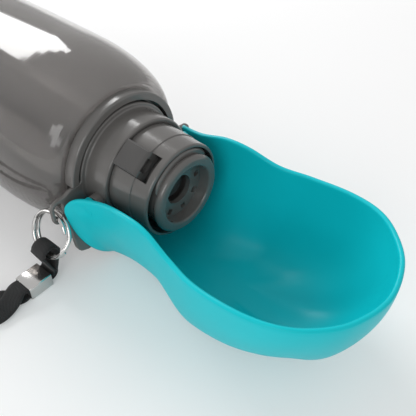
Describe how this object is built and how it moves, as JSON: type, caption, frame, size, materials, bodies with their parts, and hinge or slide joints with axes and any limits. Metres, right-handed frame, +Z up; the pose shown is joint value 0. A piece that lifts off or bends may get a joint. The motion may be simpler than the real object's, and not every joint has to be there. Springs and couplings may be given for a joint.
{
  "type": "dog travel water bottle",
  "caption": "Travel water bottle for dogs with a screw cap, a twist nozzle with a lock key, a hinged leaf-shaped drinking bowl and a wrist strap on a split ring.",
  "frame": {"origin": "on the ground under the middle of the bottle with its open bowl, as it lies on its side; the cord nodes are left out of that middle", "axes": "+X along the bottle from its base to the nozzle and the bowl's tip, +Z up out of the bowl, +Y to the left of a viewer who looks from the base to the nozzle"},
  "size_m": [0.3296, 0.128, 0.0764],
  "materials": {
    "bottle": "smoky see-through bottle plastic, polished",
    "collar": "moulded warm grey plastic with a soft gloss",
    "cap": "dark grey moulded plastic with a soft gloss",
    "nozzle": "warm grey moulded plastic, polished lip",
    "bowl": "turquoise soft moulded silicone, satin",
    "seal": "white silicone gasket, matte",
    "seal_black": "black sealing rubber, matte",
    "steel": "nickel-plated steel, polished",
    "webbing": "black woven nylon webbing"
  },
  "bodies": {
    "bottle": {"bottle": "bottle"},
    "gasket": {"neck_seal": "seal"},
    "head": {"shoulder_ring": "collar", "screw_cap": "cap", "hinge_collar": "collar", "front_sleeve": "collar", "front_ring": "collar", "valve_post": "cap", "plug_seal": "seal_black", "hinge_pin_near": "steel", "hinge_pin_far": "steel"},
    "key": {"lock_key": "cap"},
    "nozzle_carrier": {"nozzle_o_ring": "seal_black"},
    "nozzle": {"nozzle": "nozzle", "nozzle_insert": "nozzle"},
    "bowl": {"bowl": "bowl"},
    "ring": {"split_ring": "steel"},
    "strap": {"strap_eye": "webbing", "strap_clamp": "steel", "wrist_strap": "webbing"}
  },
  "joints": [
    {"name": "cap_rise", "type": "slide", "parent": "bottle", "child": "gasket", "axis": [1, 0, 0], "range_m": [0, 0.00801]},
    {"name": "cap_turn", "type": "hinge", "parent": "gasket", "child": "head", "pos_m": [0.05, 0, 0.0382], "axis": [1, 0, 0], "range_deg": [0, 720]},
    {"name": "nozzle_in", "type": "slide", "parent": "head", "child": "nozzle_carrier", "axis": [-1, 0, 0], "range_m": [0, 0.00401]},
    {"name": "nozzle_turn", "type": "hinge", "parent": "nozzle_carrier", "child": "nozzle", "pos_m": [0.072, 0, 0.0382], "axis": [-1, 0, 0], "range_deg": [0, 240]},
    {"name": "lock_slide", "type": "slide", "parent": "head", "child": "key", "axis": [1, 0, 0], "range_m": [0, 0.0026]},
    {"name": "bowl_fold", "type": "hinge", "parent": "head", "child": "bowl", "pos_m": [0.0568, 0, 0.0352], "axis": [0, -1, 0], "range_deg": [0, 87]},
    {"name": "ring_swing", "type": "hinge", "parent": "head", "child": "ring", "pos_m": [0.0476, -0.0343, 0.03025], "axis": [-1, 0, 0], "range_deg": [-3, 40]},
    {"name": "strap_swing", "type": "hinge", "parent": "ring", "child": "strap", "pos_m": [0.0444, -0.04171, 0.01436], "axis": [-1, 0, 0], "range_deg": [-8, 30]}
  ],
  "couplings": [
    {"joint": "cap_rise", "follows": "cap_turn", "m_per_rad": 0.00063662},
    {"joint": "nozzle_in", "follows": "nozzle_turn", "m_per_rad": 0.00095493}
  ]
}
